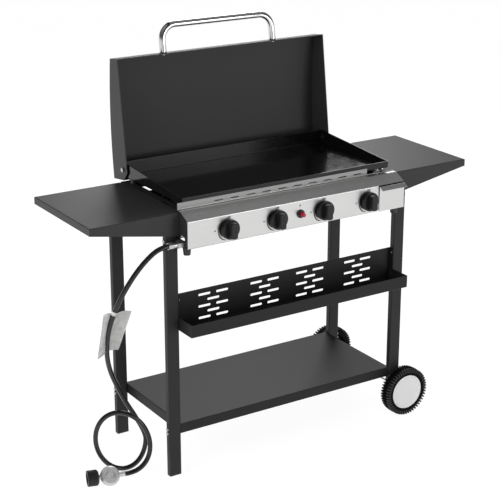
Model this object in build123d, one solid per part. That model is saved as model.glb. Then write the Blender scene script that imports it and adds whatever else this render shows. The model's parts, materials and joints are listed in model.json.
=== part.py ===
from build123d import *
from math import asin, atan2, cos, degrees, hypot, pi, radians, sin, tan
import os

# Gas griddle on a wheeled cart, with its lid open. Millimetres, +Z up, +Y to the back.
# The cart stands on the floor at z = 0, and x = 0 is the middle of its width.

# Sheet, bends and fits
sheet = 1.2
bend_radius = 2.4
running_gap = 0.05
seat_gap = 0.1
moving_gap = 0.3
edge_round = 2.0

# Legs of the cart
leg_width = 40.0
leg_depth = 20.0
leg_wall = 1.5
leg_corner = 3.0
leg_box_gap = 6.0
leg_front_y = -180.0
leg_rear_y = 185.0
foot_cap_height = 5.0
foot_plug_height = 18.0
right_leg_lift = 52.0

# Side tables
table_top_z = 840.0
table_length = 287.5
table_outer_drop = 22.0
table_inner_drop = 73.0
table_box_gap = 0.5

# Lower shelf
shelf_top_z = 168.0
shelf_lip = 31.0
shelf_inset = 1.0

# Condiment tray
tray_floor_z = 474.0
tray_back_height = 109.0
tray_reach = 75.0
tray_lip = 40.0
slot_group_x = (-268.0, -84.0, 84.0, 268.0)
slot_length = 42.0
slot_width = 7.5
slot_rows = 5
slot_row_pitch = 18.5
slot_pair_pitch = 62.0
slot_from_top = 19.0

# Wheels and axle
wheel_radius = 82.0
wheel_width = 38.0
wheel_side_gap = 2.5
rear_sleeve_proud = 18.0
tread_lugs = 56
tread_depth = 3.5
tread_crown = 8.0
wheel_web = 5.0
wheel_rim = 24.0
wheel_boss_radius = 14.0
cap_thickness = 3.0
cap_dish = 3.5
cap_rim = 4.0
axle_diameter = 8.0
sleeve_wall = 2.0
push_nut_radius = 9.0
push_nut_height = 5.0
push_nut_room = 1.0

# Burner box
box_half_width = 392.0
box_sheet = 1.5
box_height = 103.3
box_rear_inset = 3.0
deck_above_table = 2.3
deck_flange = 30.0
rear_stop_height = 2.9
rear_vent_count = 5
rear_vent_pitch = 150.0
rear_vent_length = 100.0
rear_vent_height = 16.0
rear_vent_drop = 36.0
hand_slot_from_front = 82.0
hand_slot_inset = 8.5
hand_slot_length = 48.0
hand_slot_width = 9.0
inlet_notch_radius = 15.0
inlet_notch_rise = 9.0
floor_bay_left_inset = 30.0
floor_bay_right_gap = 20.0
floor_bay_rear_gap = 4.0
box_foot_radius = 13.0
box_foot_height = 25.0
box_foot_taper = 6.0
box_foot_side_inset = 14.0
box_foot_end_inset = 30.0

# Control panel, as its bent profile from the riser down to the bottom return
face_ahead = 48.0
face_drop = 19.3
ledge_setback = 40.5
riser_setback = 58.0
riser_height = 22.2
return_depth = 14.0
riser_vent_count = 10
riser_vent_pitch = 56.0
riser_vent_length = 30.0
riser_vent_height = 3.0
riser_vent_above_deck = 9.7
riser_notch_gap = 5.0

# Griddle plate
plate_box_gap = 17.5
plate_riser_gap = 1.5
plate_overhang = 15.0
plate_above_deck = 12.7
plate_floor = 4.0
plate_wall = 3.0
plate_front_height = 21.0
plate_rear_height = 45.0
plate_cove = 1.7
plate_corner = 1.9
plate_rim_round = 1.0
spacer_radius = 9.0
spacer_neck_radius = 5.5
spacer_flange = 3.0
spacer_side_inset = 9.5
spacer_end_inset = 28.5
drain_from_front = 18.5
drain_radius = 10.0
drain_wall = 1.5
drain_flange_radius = 14.0
drain_flange_height = 3.0
drain_length = 63.0

# Lid, drawn from its hinge: along its rim, and out from its rim
lid_plate_gap = 5.5
lid_sheet = 1.5
lid_hem = 3.0
lid_hem_height = 8.0
lid_bend = 4.0
hinge_inset = 10.0
hinge_above_plate = 22.0
lid_lean = 7.6
rim_below_hinge = 25.8
lid_front_reach = 341.0
lid_front_height = 50.0
lid_rear_reach = 33.0
lid_rear_height = 69.0
lid_crown_setback = 179.0
lid_crown_height = 56.2
lid_corner_cut = 24.0
lid_rest_gap = 1.0
hinge_pin_diameter = 8.0
hinge_head_radius = 7.0
hinge_head_height = 4.0
hinge_nut_height = 5.5
hinge_nut_flats = 10.0

# Lid handle
handle_diameter = 22.0
handle_wall = 1.5
handle_leg_x = 202.0
handle_rise = 84.0
handle_bend = 47.0
handle_from_rim = 32.0
handle_plug = 20.0
handle_screw_diameter = 6.0
handle_washer_radius = 10.0
handle_washer_height = 2.0

# Burners, valves and knobs
burner_count = 4
burner_pitch = 169.3
burner_above_floor = 41.0
burner_diameter = 25.0
burner_wall = 1.2
burner_setback = 60.0
burner_end_gap = 32.0
burner_port_count = 10
burner_port_pitch = 22.0
burner_port_length = 12.0
burner_port_width = 2.0
shutter_length = 18.0
shutter_height = 8.0
rail_end_gap = 30.0
rail_front_gap = 48.0
rail_above_burner = 13.5
rail_foot = 14.0
manifold_setback = 30.0
manifold_above_floor = 11.0
manifold_radius = 8.0
manifold_wall = 2.0
manifold_end = 18.0
manifold_proud = 2.0
valve_radius = 11.0
valve_length = 48.8
valve_neck_radius = 6.0
nozzle_flats = 8.0
nozzle_length = 18.0
stem_diameter = 6.0
stem_hole_radius = 6.0
stem_plug_diameter = 10.0
stem_plug_depth = 24.0
knob_radius = 30.0
knob_skirt = 9.0
knob_depth = 30.0
knob_grip_width = 24.0
knob_grip_radius = 25.5
knob_grip_draft = 3.0
knob_travel = 4.0
knob_panel_gap = 7.0
knob_front_wall = 9.0
grip_round = 3.0

# Push igniter and its electrode
igniter_above_burners = 2.0
igniter_flange_radius = 13.0
igniter_flange = 5.0
igniter_barrel_radius = 9.0
igniter_barrel_length = 42.0
button_diameter = 13.0
button_proud = 16.0
button_length = 38.0
button_travel = 5.0
electrode_offset = 24.0
electrode_radius = 3.5
electrode_collar_radius = 6.0
electrode_collar = 4.0
electrode_front = 22.0
electrode_rear = 18.0
electrode_tip_radius = 1.0
electrode_tip = 16.0

# Grease drawer
drawer_width = 96.0
drawer_side_gap = 1.0
drawer_front_gap = 1.5
drawer_top_gap = 1.0
drawer_proud = 3.5
drawer_pull = 17.0
drawer_pull_drop = 12.0
drawer_pan_left_inset = 5.0
drawer_pan_right_inset = 10.0
drawer_pan_depth = 100.0
drawer_pan_above_floor = 2.8
drawer_pan_height = 40.0
drawer_rail_width = 10.0
drawer_rail_height = 8.0

# Bolts: one size for the frame, one for the tray
bolt_diameter = 6.0
bolt_hole_gap = 0.2
bolt_head_radius = 5.5
bolt_head_height = 3.5
nut_flats = 10.0
nut_height = 5.0
shelf_bolt_drops = (25.0, 12.0)
box_bolt_above_bottom = 18.0
table_bolt_drop = 28.0
spacer_ring_radius = 6.5
tray_screw_rises = (18.0, 94.0)
tray_screw_depth = 7.0

# Gas hose, its inlet fitting and its regulator
inlet_hex_flats = 22.0
inlet_hex_length = 18.0
inlet_body_radius = 9.0
inlet_body_length = 14.0
inlet_nut_flats = 19.0
inlet_nut_length = 15.0
hose_diameter = 15.0
loop_plan_turn = -16.0
loop_end_x = -568.0
loop_end_y = -130.5
loop_end_z = 26.0
loop_middle_z = 116.5
loop_back = 89.3
loop_side = 6.5
loop_start_width = 79.4
loop_end_width = 84.5
loop_start_height = 113.8
loop_shear = -13.1
loop_start_turn = 40.0
loop_end_turn = -450.0
loop_steps = 8
drop_last_run = 60.0
port_hex_flats = 15.0
port_hex_length = 12.0
port_neck_length = 4.0
regulator_radius = 30.0
regulator_half_height = 9.0
regulator_rim = 3.5
regulator_seam = 1.6
regulator_base_radius = 24.0
regulator_shoulder_radius = 24.5
regulator_hub_radius = 9.0
regulator_hub = 7.0
regulator_vent_radius = 4.0
regulator_vent = 2.5
regulator_vent_reach = 17.0
regulator_tilt = 50.0
neck_radius = 7.0
neck_length = 5.3
hand_nut_radius = 24.5
hand_nut_length = 34.0
hand_nut_shoulder = 5.0
hand_nut_grips = 24
hand_nut_groove = 1.5
hand_nut_mouth_radius = 17.0
hand_nut_mouth_depth = 18.0
nipple_radius = 5.0
nipple_length = 18.0
nipple_head_radius = 8.0
nipple_head = 4.5

# Hand-chosen points of the hose between the inlet and the loop
drop_points = [
    (-471.0, -198.0, 750.0),
    (-501.0, -197.0, 740.0),
    (-545.0, -192.0, 708.0),
    (-584.0, -180.0, 632.0),
    (-607.0, -163.0, 550.0),
    (-614.0, -141.0, 464.0),
    (-600.0, -113.0, 388.0),
    (-567.0, -82.0, 320.0),
]

# Places across the cart
leg_inner_x = box_half_width + leg_box_gap
leg_outer_x = leg_inner_x + leg_width
leg_mid_x = leg_inner_x + leg_width / 2
table_inner_x = box_half_width + table_box_gap
table_outer_x = table_inner_x + table_length
box_inner_x = box_half_width - box_sheet
plate_half_width = box_half_width - plate_box_gap
lid_half_width = plate_half_width + lid_plate_gap
sleeve_radius = axle_diameter / 2 + sleeve_wall
axle_x = leg_outer_x + sleeve_radius
drawer_right_x = box_half_width - drawer_side_gap
drawer_left_x = drawer_right_x - drawer_width
drawer_pan_left_x = drawer_left_x + drawer_pan_left_inset
drawer_pan_right_x = drawer_right_x - drawer_pan_right_inset
drain_x = (drawer_pan_left_x + drawer_pan_right_x) / 2
burner_x = [(number - (burner_count - 1) / 2) * burner_pitch for number in range(burner_count)]
manifold_right_x = burner_x[-1] + manifold_end
inlet_x = -box_half_width - manifold_proud

# Places along the depth
leg_mid_y = (leg_front_y + leg_depth / 2, leg_rear_y - leg_depth / 2)
sleeve_end_y = (leg_front_y, leg_rear_y + rear_sleeve_proud)
wheel_inner_y = (sleeve_end_y[0] - wheel_side_gap, sleeve_end_y[1] + wheel_side_gap)
tray_front_y = leg_front_y - tray_reach
box_rear_y = leg_rear_y - box_rear_inset
face_y = leg_front_y - face_ahead
face_back_y = face_y + sheet
ledge_front_y = face_y + ledge_setback
riser_y = face_y + riser_setback
plate_front_y = riser_y + plate_riser_gap
plate_rear_y = box_rear_y + plate_overhang
hinge_y = plate_rear_y - hinge_inset
drain_y = plate_front_y + drain_from_front
burner_front_y = face_y + burner_setback
burner_rear_y = box_rear_y - burner_end_gap
rail_y = (burner_front_y + rail_front_gap, burner_rear_y - rail_end_gap)
manifold_y = face_y + manifold_setback
valve_rear_y = face_back_y + valve_length
knob_back_y = face_y - knob_panel_gap
knob_front_y = knob_back_y - knob_depth
drawer_front_y = face_y - drawer_proud
drawer_pan_rear_y = face_y + drawer_pan_depth

# Heights
table_under_z = table_top_z - sheet
shelf_bolt_z = [shelf_top_z - drop for drop in shelf_bolt_drops]
tray_back_top_z = tray_floor_z + tray_back_height
tray_screw_z = [tray_floor_z + rise for rise in tray_screw_rises]
slot_top_z = tray_back_top_z - slot_from_top
deck_z = table_top_z + deck_above_table
box_bottom_z = deck_z - box_height
floor_top_z = box_bottom_z + sheet
face_top_z = deck_z - face_drop
ledge_z = deck_z + sheet
riser_top_z = deck_z + riser_height
plate_bottom_z = deck_z + plate_above_deck
plate_floor_z = plate_bottom_z + plate_floor
plate_front_top_z = plate_bottom_z + plate_front_height
plate_rear_top_z = plate_bottom_z + plate_rear_height
hinge_z = plate_bottom_z + hinge_above_plate
drain_bottom_z = plate_bottom_z - drain_length
burner_z = box_bottom_z + burner_above_floor
igniter_z = burner_z + igniter_above_burners
manifold_z = box_bottom_z + manifold_above_floor
drawer_top_z = face_top_z - drawer_top_gap
drawer_pan_bottom_z = floor_top_z + drawer_pan_above_floor
box_bolt_z = [box_bottom_z + box_bolt_above_bottom, table_top_z - table_bolt_drop]

# Fits
bolt_hole = bolt_diameter / 2 + bolt_hole_gap
wheel_rim_inner_radius = wheel_radius - wheel_rim
wheel_boss_top = wheel_width - cap_thickness - cap_dish - push_nut_height - push_nut_room


def block(x0, x1, y0, y1, z0, z1):
    """A box between two corners."""
    centre = Pos((x0 + x1) / 2, (y0 + y1) / 2, (z0 + z1) / 2)
    return centre * Box(abs(x1 - x0), abs(y1 - y0), abs(z1 - z0))


def rod_x(x0, x1, y, z, radius):
    """A round bar along X."""
    return Pos((x0 + x1) / 2, y, z) * Rot(0, 90, 0) * Cylinder(radius, abs(x1 - x0))


def rod_y(x, y0, y1, z, radius):
    """A round bar along Y."""
    return Pos(x, (y0 + y1) / 2, z) * Rot(90, 0, 0) * Cylinder(radius, abs(y1 - y0))


def rod_z(x, y, z0, z1, radius):
    """A round bar along Z."""
    return Pos(x, y, (z0 + z1) / 2) * Cylinder(radius, abs(z1 - z0))


def hex_x(x0, x1, y, z, flats):
    """A hexagonal bar along X."""
    outline = RegularPolygon(flats / 2, 6, major_radius=False)
    return extrude(Plane((min(x0, x1), y, z), x_dir=(0, 0, 1), z_dir=(1, 0, 0)) * outline, abs(x1 - x0))


def slot_y(x, y0, y1, z, length, width):
    """A round-ended slot, long in X, cut through a wall that faces Y."""
    outline = Plane((x, y1, z), x_dir=(1, 0, 0), z_dir=(0, -1, 0)) * SlotOverall(length, width)
    return extrude(outline, y1 - y0)


def bent_sheet(points, x0, x1, thickness):
    """A sheet bent along the middle line through points of (y, z), as wide as x0 to x1."""
    line = FilletPolyline(*[(y, z) for y, z in points], radius=bend_radius)
    strip = trace(line, line_width=thickness)
    return extrude(Plane((x0, 0, 0), x_dir=(0, 1, 0), z_dir=(1, 0, 0)) * strip, x1 - x0)


def group(pieces):
    """Several separate solids as one node."""
    return Compound([solid for piece in pieces for solid in piece.solids()])


def mirrored(part):
    """The same piece on the other side of the cart."""
    return mirror(part, Plane.YZ)


def side_wall_top(y):
    """Height of the griddle plate's sloping side wall."""
    share = (y - plate_front_y) / (plate_rear_y - plate_front_y)
    return plate_front_top_z + share * (plate_rear_top_z - plate_front_top_z)


# Cart frame


def leg_tube(x_sign, y_mid, bottom_z):
    outer = RectangleRounded(leg_width, leg_depth, leg_corner)
    inner = RectangleRounded(leg_width - 2 * leg_wall, leg_depth - 2 * leg_wall, leg_corner - leg_wall)
    tube = Pos(x_sign * leg_mid_x, y_mid, bottom_z) * extrude(outer - inner, table_under_z - bottom_z)
    for z in shelf_bolt_z + box_bolt_z:
        tube -= rod_x(x_sign * (leg_inner_x - 1), x_sign * (leg_outer_x + 1), y_mid, z, bolt_hole)
    return tube


def front_screw_holes(x_sign):
    x_end = x_sign * (leg_inner_x + leg_wall + 1)
    return [rod_x(x_sign * (leg_inner_x - 1), x_end, leg_mid_y[0], z, bolt_hole) for z in tray_screw_z]


def right_leg(end):
    """A leg on the wheel side, with a welded sleeve that reaches out to its wheel."""
    y_mid = leg_mid_y[end]
    inner_y = y_mid - leg_depth / 2 if end else y_mid + leg_depth / 2
    low, high = wheel_radius - sleeve_radius, wheel_radius + sleeve_radius
    web_half = leg_depth / 2 - leg_corner
    leg = leg_tube(1, y_mid, right_leg_lift)
    leg += rod_y(axle_x, inner_y, sleeve_end_y[end], wheel_radius, sleeve_radius)
    leg += block(leg_outer_x - leg_wall, axle_x, y_mid - web_half, y_mid + web_half, low, high)
    bore = axle_diameter / 2 + seat_gap
    return leg - rod_y(axle_x, leg_front_y - 1, sleeve_end_y[1] + 1, wheel_radius, bore)


def foot_cap(x_sign, y_mid, bottom_z, height):
    pad = RectangleRounded(leg_width, leg_depth, leg_corner)
    room = 2 * (leg_wall + seat_gap)
    plug = RectangleRounded(leg_width - room, leg_depth - room, leg_corner - leg_wall)
    cap = extrude(pad, height) + Pos(0, 0, height) * extrude(plug, foot_plug_height)
    return Pos(x_sign * leg_mid_x, y_mid, bottom_z) * cap


def lower_shelf():
    y0, y1 = leg_front_y + shelf_inset, leg_rear_y - shelf_inset
    pan = block(-leg_inner_x, leg_inner_x, y0, y1, shelf_top_z - shelf_lip, shelf_top_z)
    pan = fillet(pan.faces().sort_by(Axis.Z)[-1].edges(), bend_radius)
    pan -= block(-leg_inner_x + sheet, leg_inner_x - sheet, y0 + sheet, y1 - sheet,
                 shelf_top_z - shelf_lip - 1, shelf_top_z - sheet)
    for y in leg_mid_y:
        for z in shelf_bolt_z:
            pan -= rod_x(-leg_inner_x - 1, leg_inner_x + 1, y, z, bolt_hole)
    return pan


def slot_group(x):
    """Five rows of slots, two and one by turns."""
    y0, y1 = leg_front_y, leg_front_y + 2 * leg_depth
    slots = []
    for row in range(slot_rows):
        z = slot_top_z - row * slot_row_pitch
        offsets = (-slot_pair_pitch / 2, slot_pair_pitch / 2) if row % 2 == 0 else (0.0,)
        slots += [slot_y(x + offset, y0, y1, z, slot_length, slot_width) for offset in offsets]
    return slots


def condiment_tray():
    back_y = leg_front_y + leg_depth - sheet / 2
    front_y = tray_front_y + sheet / 2
    floor_z = tray_floor_z + sheet / 2
    half = leg_inner_x
    lip_z = tray_floor_z + tray_lip
    profile = [(back_y, tray_back_top_z), (back_y, floor_z), (front_y, floor_z), (front_y, lip_z)]
    tray = bent_sheet(profile, -half, half, sheet)
    for sign in (-1, 1):
        x0, x1 = sorted((sign * (half - sheet), sign * half))
        tray += block(x0, x1, front_y, back_y, floor_z, lip_z)
        tray += block(x0, x1, leg_front_y, back_y, floor_z, tray_back_top_z)
        for z in tray_screw_z:
            tray -= rod_x(x0 - 1, x1 + 1, leg_mid_y[0], z, bolt_hole)
    for x in slot_group_x:
        tray -= slot_group(x)
    return tray


def side_table():
    """The right-hand table: a pressed tray whose front and back flanges grow deeper towards the legs."""
    y0, y1 = leg_front_y - sheet, leg_rear_y + sheet
    inner_low, outer_low = table_top_z - table_inner_drop, table_top_z - table_outer_drop
    outline = Polygon((table_inner_x, table_top_z), (table_inner_x, inner_low), (table_outer_x, outer_low),
                      (table_outer_x, table_top_z), align=None)
    table = extrude(Plane((0, y1, 0), x_dir=(1, 0, 0), z_dir=(0, -1, 0)) * outline, y1 - y0)
    table = fillet(table.faces().sort_by(Axis.Z)[-1].edges(), bend_radius)
    table -= block(table_inner_x + sheet, table_outer_x - sheet, y0 + sheet, y1 - sheet,
                   inner_low - 1, table_under_z)
    for y in leg_mid_y:
        table -= rod_x(table_inner_x - 1, leg_inner_x, y, box_bolt_z[1], bolt_hole)
    return table


def tyre_form(radius):
    """A disc as wide as the wheel, with its rim crowned."""
    edge = radius - tread_crown
    crown = ThreePointArc((edge, 0), (radius, wheel_width / 2), (edge, wheel_width))
    walls = Polyline((edge, wheel_width), (0, wheel_width), (0, 0), (edge, 0))
    return revolve(Plane.XZ * make_face([crown, walls]), Axis.Z)


def tread_row(start, turn):
    """Lugs over half of the tyre's width, as bars that its crown trims."""
    lug = pi * wheel_radius / tread_lugs
    bar = Pos(wheel_radius - tread_crown, 0) * Rectangle(2 * (tread_crown + tread_depth), lug)
    pitch = 360 / tread_lugs
    bars = Sketch() + [Rot(0, 0, turn + index * pitch) * bar for index in range(tread_lugs)]
    return extrude(Pos(0, 0, start) * bars, wheel_width / 2)


def wheel(y_sign):
    """A moulded wheel with two staggered rows of lugs, an open outer face for its cap and an axle boss."""
    y_in = wheel_inner_y[0] if y_sign < 0 else wheel_inner_y[1]
    middle = wheel_width / 2
    lugs = tread_row(0, 0) + tread_row(middle, 180 / tread_lugs)
    solid = tyre_form(wheel_radius - tread_depth) + (lugs & tyre_form(wheel_radius))
    web_low, web_top = middle - wheel_web / 2, middle + wheel_web / 2
    solid -= rod_z(0, 0, web_top, wheel_width + 1, wheel_rim_inner_radius)
    solid -= rod_z(0, 0, -1, web_low, wheel_rim_inner_radius)
    solid += rod_z(0, 0, moving_gap - wheel_side_gap, wheel_boss_top, wheel_boss_radius)
    solid -= Cylinder(axle_diameter / 2 + running_gap, 4 * wheel_width)
    return Plane((axle_x, y_in, wheel_radius), x_dir=(1, 0, 0), z_dir=(0, y_sign, 0)) * solid


def wheel_cap(y_sign):
    """The pale dished cap that closes a wheel's outer face."""
    y_in = wheel_inner_y[0] if y_sign < 0 else wheel_inner_y[1]
    top = wheel_width
    low = top - cap_thickness
    radius = wheel_rim_inner_radius - seat_gap
    flat = radius - 2 * cap_rim
    section = Polygon((0, low - cap_dish / 2), (flat, low - cap_dish), (radius - cap_rim, low - cap_dish),
                      (radius, low), (radius, top), (radius - cap_rim, top), (flat, top - cap_dish),
                      (0, top - cap_dish / 2), align=None)
    cap = revolve(Plane.XZ * section, Axis.Z)
    web_top = wheel_width / 2 + wheel_web / 2
    skirt = rod_z(0, 0, web_top, low, radius) - rod_z(0, 0, web_top - 1, low + 1, radius - cap_thickness)
    cap += skirt
    return Plane((axle_x, y_in, wheel_radius), x_dir=(1, 0, 0), z_dir=(0, y_sign, 0)) * cap


def push_nut(y_sign):
    y_in = wheel_inner_y[0] if y_sign < 0 else wheel_inner_y[1]
    y0 = y_in + y_sign * (wheel_boss_top + moving_gap)
    y1 = y0 + y_sign * (push_nut_height - 2 * moving_gap)
    nut = rod_y(axle_x, y0, y1, wheel_radius, push_nut_radius)
    bore = axle_diameter / 2 + running_gap
    return nut - rod_y(axle_x, y_in, y_in + y_sign * wheel_width, wheel_radius, bore)


def wheel_axle():
    reach = wheel_boss_top + push_nut_height - moving_gap
    y0, y1 = wheel_inner_y[0] - reach, wheel_inner_y[1] + reach
    return rod_y(axle_x, y0, y1, wheel_radius, axle_diameter / 2)


# Burner box


def box_side():
    """The right-hand side: a cheek that follows the control panel, and a deck flange folded inwards."""
    front = face_back_y + seat_gap
    outline = Polygon((front, box_bottom_z), (box_rear_y, box_bottom_z), (box_rear_y, deck_z),
                      (ledge_front_y + sheet, deck_z), (front, face_top_z - 2 * sheet), align=None)
    side = extrude(Plane((box_inner_x, 0, 0), x_dir=(0, 1, 0), z_dir=(1, 0, 0)) * outline, box_sheet)
    side += block(box_half_width - deck_flange, box_half_width, riser_y + sheet, box_rear_y,
                  deck_z - box_sheet, deck_z)
    slot_place = Pos(box_half_width - hand_slot_inset, riser_y + hand_slot_from_front, deck_z)
    hand_slot = slot_place * Rot(0, 0, 90) * SlotOverall(hand_slot_length, hand_slot_width)
    side -= extrude(hand_slot, 2 * box_sheet, both=True)
    for y in leg_mid_y:
        for z in box_bolt_z:
            side -= rod_x(box_inner_x - 1, box_half_width + 1, y, z, bolt_hole)
    return side


def left_box_side():
    """The left-hand side, notched from its lower edge round the gas inlet."""
    x0, x1 = -box_half_width - 1, -box_inner_x + 1
    y0, y1 = manifold_y - inlet_notch_radius, manifold_y + inlet_notch_radius
    arch_z = manifold_z + inlet_notch_rise
    notch = rod_x(x0, x1, manifold_y, arch_z, inlet_notch_radius)
    notch += block(x0, x1, y0, y1, box_bottom_z - 1, arch_z)
    return mirrored(box_side()) - notch


def box_rear_panel():
    half = box_inner_x - seat_gap
    top_z = deck_z + rear_stop_height
    panel = block(-half, half, box_rear_y - box_sheet, box_rear_y, floor_top_z, top_z)
    for sign in (-1, 1):
        inner = sign * (box_half_width - deck_flange - seat_gap)
        panel -= block(inner, sign * (half + 1), box_rear_y - 2 * box_sheet, box_rear_y + 1,
                       deck_z - box_sheet - seat_gap, top_z + 1)
    first = -(rear_vent_count - 1) / 2 * rear_vent_pitch
    for vent in range(rear_vent_count):
        panel -= slot_y(first + vent * rear_vent_pitch, box_rear_y - 2 * box_sheet, box_rear_y + box_sheet,
                        deck_z - rear_vent_drop, rear_vent_length, rear_vent_height)
    return panel


def box_floor():
    """The box's floor, left open below the valves."""
    y0 = face_y + return_depth + seat_gap
    floor = block(-box_inner_x, box_inner_x, y0, box_rear_y, box_bottom_z, floor_top_z)
    x0, x1 = -box_inner_x + floor_bay_left_inset, drawer_left_x - floor_bay_right_gap
    y1 = rail_y[0] - box_sheet / 2 - floor_bay_rear_gap
    return floor - block(x0, x1, y0 - 1, y1, box_bottom_z - 1, floor_top_z + 1)


def box_feet():
    """Tapered feet under the box's corners."""
    x = box_half_width - box_foot_side_inset
    ends = (face_y + box_foot_end_inset, box_rear_y - box_foot_end_inset)
    tops = [Pos(sign * x, y, box_bottom_z) * Circle(box_foot_radius) for sign in (-1, 1) for y in ends]
    return [extrude(top, -box_foot_height, taper=box_foot_taper) for top in tops]


def control_panel():
    """Brushed front sheet: a vented riser, a ledge, a slope and an upright face with its bottom return."""
    mid = sheet / 2
    points = [(riser_y + mid, riser_top_z), (riser_y + mid, ledge_z - mid), (ledge_front_y, ledge_z - mid),
              (face_y + mid, face_top_z - mid), (face_y + mid, box_bottom_z + mid),
              (face_y + return_depth, box_bottom_z + mid)]
    panel = bent_sheet(points, -box_half_width, box_half_width, sheet)
    first = -(riser_vent_count - 1) / 2 * riser_vent_pitch
    for vent in range(riser_vent_count):
        panel -= slot_y(first + vent * riser_vent_pitch, riser_y - 2, riser_y + 2 * sheet,
                        deck_z + riser_vent_above_deck, riser_vent_length, riser_vent_height)
    panel -= block(drawer_left_x - riser_notch_gap, box_half_width + 1, riser_y - 1, riser_y + 2 * sheet,
                   ledge_z + bend_radius, riser_top_z + 1)
    return_end = face_y + return_depth + 1
    panel -= block(drawer_left_x - drawer_front_gap, box_half_width + 1, face_y - 1, return_end,
                   box_bottom_z - 1, drawer_top_z + drawer_front_gap - sheet)
    for sign in (-1, 1):
        panel -= block(sign * (box_inner_x - seat_gap), sign * (box_half_width + 1), face_back_y, return_end,
                       box_bottom_z - 1, box_bottom_z + 2 * bend_radius)
    for x in burner_x:
        panel -= rod_y(x, face_y - 1, face_y + 2 * sheet, burner_z, stem_hole_radius)
    panel -= rod_y(0, face_y - 1, face_y + 2 * sheet, igniter_z, igniter_barrel_radius + seat_gap)
    return panel


def griddle_plate():
    """A deep pan with a low front wall, side walls that rise to the back and a coved floor."""
    outline = Polygon((plate_front_y, plate_bottom_z), (plate_rear_y, plate_bottom_z),
                      (plate_rear_y, plate_rear_top_z), (plate_front_y, plate_front_top_z), align=None)
    side_plane = Plane((-plate_half_width, 0, 0), x_dir=(0, 1, 0), z_dir=(1, 0, 0))
    pan = extrude(side_plane * outline, 2 * plate_half_width)
    upright = pan.edges().filter_by(Axis.Z)
    base = pan.faces().sort_by(Axis.Z)[0].edges()
    pan = fillet(upright + base, plate_wall)
    hollow = block(-plate_half_width + plate_wall, plate_half_width - plate_wall, plate_front_y + plate_wall,
                   plate_rear_y - plate_wall, plate_floor_z, plate_rear_top_z + plate_wall)
    hollow = fillet(hollow.edges().filter_by(Axis.Z), plate_corner)
    hollow = fillet(hollow.faces().sort_by(Axis.Z)[0].edges(), plate_cove)
    pan -= hollow
    pan = fillet(pan.faces().sort_by(Axis.Z)[-1].edges(), plate_rim_round)
    pan -= rod_z(drain_x, drain_y, plate_bottom_z - 1, plate_floor_z + 1, drain_radius - drain_wall)
    for sign in (-1, 1):
        x0, x1 = sign * (plate_half_width - 2 * plate_wall), sign * (plate_half_width + 1)
        pan -= rod_x(x0, x1, hinge_y, hinge_z, hinge_pin_diameter / 2 + seat_gap)
    return pan


def plate_spacer(x, y):
    """A spool that holds the plate above the deck."""
    spool = rod_z(x, y, deck_z, deck_z + spacer_flange, spacer_radius)
    spool += rod_z(x, y, deck_z, plate_bottom_z, spacer_neck_radius)
    return spool + rod_z(x, y, plate_bottom_z - spacer_flange, plate_bottom_z, spacer_radius)


def plate_spacers():
    x = plate_half_width - spacer_side_inset
    ends = (plate_front_y + spacer_end_inset, box_rear_y - spacer_end_inset)
    return [plate_spacer(sign * x, y) for sign in (-1, 1) for y in ends]


def drain_spout():
    spout = rod_z(drain_x, drain_y, drain_bottom_z, plate_bottom_z, drain_radius)
    ring_z = plate_bottom_z - 2 * drain_flange_height
    spout += rod_z(drain_x, drain_y, ring_z - drain_flange_height, ring_z, drain_flange_radius)
    return spout - rod_z(drain_x, drain_y, drain_bottom_z - 1, plate_bottom_z + 1, drain_radius - drain_wall)


def hinge_bolt(x_sign):
    """A shoulder bolt and its nut, with a collar that keeps the lid off the plate."""
    nut_outer = x_sign * (plate_half_width - plate_wall)
    nut_inner = nut_outer - x_sign * hinge_nut_height
    collar_end = x_sign * (lid_half_width - lid_sheet - moving_gap)
    head_start = x_sign * (lid_half_width + moving_gap)
    head_end = head_start + x_sign * hinge_head_height
    pin = rod_x(nut_inner, head_start, hinge_y, hinge_z, hinge_pin_diameter / 2)
    pin += rod_x(head_start, head_end, hinge_y, hinge_z, hinge_head_radius)
    pin += rod_x(x_sign * plate_half_width, collar_end, hinge_y, hinge_z, hinge_head_radius)
    return pin + hex_x(nut_inner, nut_outer, hinge_y, hinge_z, hinge_nut_flats)


# Lid

lid_sine, lid_cosine = sin(radians(lid_lean)), cos(radians(lid_lean))


def lid_plane(x):
    """Drawing plane of the lid: along its rim from the hinge, then out from its rim."""
    return Plane((x, hinge_y, hinge_z), x_dir=(0, lid_sine, lid_cosine), z_dir=(-1, 0, 0))


def lid_outline(inset, rim_depth):
    """Side outline of the lid, with its walls drawn in by inset and its rim at rim_depth."""
    front, rear = lid_front_reach - inset, -lid_rear_reach + inset
    top_front = lid_front_height - rim_below_hinge - inset
    crown = ThreePointArc((front, top_front), (lid_front_reach - lid_crown_setback, lid_crown_height - inset),
                          (rear, lid_rear_height - inset))
    cut = min(lid_corner_cut, rim_depth)
    walls = Polyline((rear, lid_rear_height - inset), (rear, 0), (rear + cut, -rim_depth),
                     (front, -rim_depth), (front, top_front))
    return make_face([crown, walls])


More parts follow.
